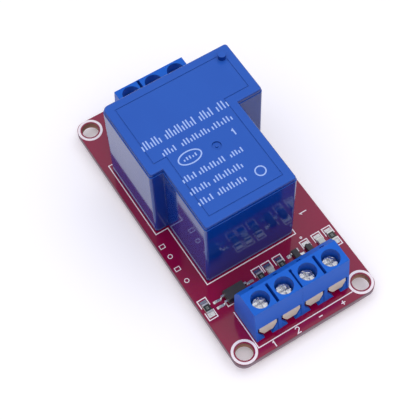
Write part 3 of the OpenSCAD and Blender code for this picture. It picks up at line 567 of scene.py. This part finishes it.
# soft beige-grey metal with 0.08 mm brush lines along the lip
along = add(tree, "Mapping", {0: add(tree, "TexCoord").outputs["Object"],
                              "Scale": (0.1, 1, 1)}).outputs[0]
brushed, shade = mottle(tree, along, 0.08 * MM, "#bfb9ae", "#e0dacf")
rough = add(tree, "MapRange", {"Value": brushed, "To Min": 0.45, "To Max": 0.65})
feed(tree, shader, {"Base Color": shade, "Metallic": 1.0, "Roughness": rough.outputs[0]})
dress(plate, *[way.format("clamp") for way in WAYS])

# ---- Clamp screws ----
# Steel screws, headed and slotted, then nickel plated; they turn in the frames' threaded tops and
# push the clamp plates down.
nickel, tree, shader = new_material("nickel_plated_screw")
# bright metal that tool marks 0.5 mm across break into sparkling spots
marks, shade = mottle(tree, add(tree, "TexCoord").outputs["Object"], 0.5 * MM, "#a9acb6",
                      "#fafafd")
rough = add(tree, "MapRange", {"Value": marks, "To Min": 0.08, "To Max": 0.26})
soft = add(tree, "Bevel", {"Radius": 0.1 * MM}, samples=4)
relief = add(tree, "Bump", {"Height": marks, "Strength": 0.8, "Distance": 0.1 * MM,
                            "Normal": soft.outputs[0]})
feed(tree, shader, {"Base Color": shade, "Metallic": 1.0, "Roughness": rough.outputs[0],
                    "Normal": relief.outputs[0]})
dress(nickel, *[way.format("screw") for way in WAYS])

# ---- Optocoupler, transistor and diode ----
# Dark grey epoxy, transfer moulded round the chip; the leads are tinned alloy, bent down to the
# board and soldered to its pads.
epoxy, tree, shader = new_material("moulded_dark_epoxy")
# dark grey and matt, with the filler's grain, drawn 0.07 mm
filler, shade = mottle(tree, add(tree, "TexCoord").outputs["Object"], 0.07 * MM, "#232127",
                       "#3b3941")
relief = add(tree, "Bump", {"Height": filler, "Strength": 0.5, "Distance": 0.01 * MM})
feed(tree, shader, {"Base Color": shade, "Roughness": 0.42, "Normal": relief.outputs[0]})
dress(epoxy, "optocoupler_body", "transistor_body", "diode")

solder, tree, shader = new_material("reflowed_solder")
# bright silver, rippled in grains of 0.25 mm where it set
grain = add(tree, "TexVoronoi", {"Vector": add(tree, "TexCoord").outputs["Object"],
                                 "Scale": 1 / (0.25 * MM)}).outputs["Distance"]
shade = add(tree, "Mix", {BY: grain, ONE: linear("#dcdce2"), OTHER: linear("#b4b4bc")},
            data_type="RGBA")
relief = add(tree, "Bump", {"Height": grain, "Strength": 0.15, "Distance": 0.03 * MM})
feed(tree, shader, {"Base Color": shade.outputs[MIXED], "Metallic": 1.0, "Roughness": 0.24,
                    "Normal": relief.outputs[0]})
dress(solder, "surface_solder", "pin_solder")

lead, tree, shader = new_material("tinned_lead_frame")
# bright stamped metal, smooth under its tin, with edges rounded by 0.06 mm
drawn, shade = mottle(tree, add(tree, "TexCoord").outputs["Object"], 0.4 * MM, "#c6c6cc",
                      "#f4f4f6")
rough = add(tree, "MapRange", {"Value": drawn, "To Min": 0.12, "To Max": 0.3})
soft = add(tree, "Bevel", {"Radius": 0.06 * MM}, samples=4)
feed(tree, shader, {"Base Color": shade, "Metallic": 1.0, "Roughness": rough.outputs[0],
                    "Normal": soft.outputs[0]})
dress(lead, "optocoupler_leads", "transistor_leads", "relay_coil_pins")


# ---- Chip resistors ----
# White ceramic slabs with a black glass coat on top and wrapped, tinned ends, soldered in a row
# behind the front terminal.
def ends_of_row(tree, place, from_middle):
    """1 on the ends of the chips in the row, a distance in metres or more from its middle."""
    along = add(tree, "SeparateXYZ", {0: place}).outputs["Y"]
    along = add(tree, "Math", {0: along, 1: -row_y * MM}, operation="ADD")
    along = add(tree, "Math", {0: along.outputs[0]}, operation="ABSOLUTE")
    return add(tree, "Math", {0: along.outputs[0], 1: from_middle},
               operation="GREATER_THAN").outputs[0]


chip, tree, shader = new_material("coated_ceramic_chip")
# silver ends, white sides, and a black glassy top with 0.15 mm specks
place = add(tree, "TexCoord").outputs["Object"]
ends = ends_of_row(tree, place, 0.66 * MM)
glass_top = add(tree, "Math", {0: upward(tree), 1: 0.5}, operation="GREATER_THAN")
_, black = mottle(tree, place, 0.15 * MM, "#14181a", "#262b2c")
body = add(tree, "Mix", {BY: glass_top.outputs[0], ONE: linear("#d9d7cf"), OTHER: black},
           data_type="RGBA")
shade = add(tree, "Mix", {BY: ends, ONE: body.outputs[MIXED], OTHER: linear("#d2d2d6")},
            data_type="RGBA")
feed(tree, shader, {"Base Color": shade.outputs[MIXED], "Metallic": ends, "Roughness": 0.28})
dress(chip, "resistor_1", "resistor_2", "resistor_3", "resistor_4")

glaze, tree, shader = new_material("fired_white_marking")
# three grey-white strokes on each chip in place of its value, worn in 0.08 mm spots
_, shade = mottle(tree, add(tree, "TexCoord").outputs["Object"], 0.08 * MM, "#7d8284", "#b4b8b9",
                  2.0)
feed(tree, shader, {"Base Color": shade, "Roughness": 0.4})
GLAZE_T, MARK_HALF, MARK_PITCH, MARK_LINE = 0.006 * MM, 0.24, 0.22, 0.09
bm = bmesh.new()
for i in (1, 2, 3, 4):
    x, y, _ = centre(f"resistor_{i}")
    top_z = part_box(f"resistor_{i}")[1][2]
    for step in (-1, 0, 1):
        mark_y = y + step * MARK_PITCH
        ribbon(bm, [(x - MARK_HALF, mark_y), (x + MARK_HALF, mark_y)], MARK_LINE, top_z, GLAZE_T)
show("marks_on_resistors", bm, glaze)

# ---- Chip lights ----
# A white laminate base with tinned ends carries a clear moulded epoxy block over the light chip;
# both lights stand in the row with the resistors.
base, tree, shader = new_material("white_laminate_light_base")
# even white between silver ends
place = add(tree, "TexCoord").outputs["Object"]
ends = ends_of_row(tree, place, 0.7 * MM)
_, pale = mottle(tree, place, 0.2 * MM, "#dfe0dc", "#f2f2ee", 2.0)
shade = add(tree, "Mix", {BY: ends, ONE: pale, OTHER: linear("#c9cacb")}, data_type="RGBA")
feed(tree, shader, {"Base Color": shade.outputs[MIXED], "Metallic": ends, "Roughness": 0.3})
dress(base, "power_led_body", "signal_led_body")

lens, tree, shader = new_material("clear_moulded_epoxy")
# glassy and slightly milky, hazed 0.3 mm across
_, shade = mottle(tree, add(tree, "TexCoord").outputs["Object"], 0.3 * MM, "#d3d6d6", "#eceeee",
                  2.0)
feed(tree, shader, {"Base Color": shade, "Transmission Weight": 0.3, "Roughness": 0.12,
                    "IOR": 1.5})
dress(lens, "power_led_lens", "signal_led_lens")
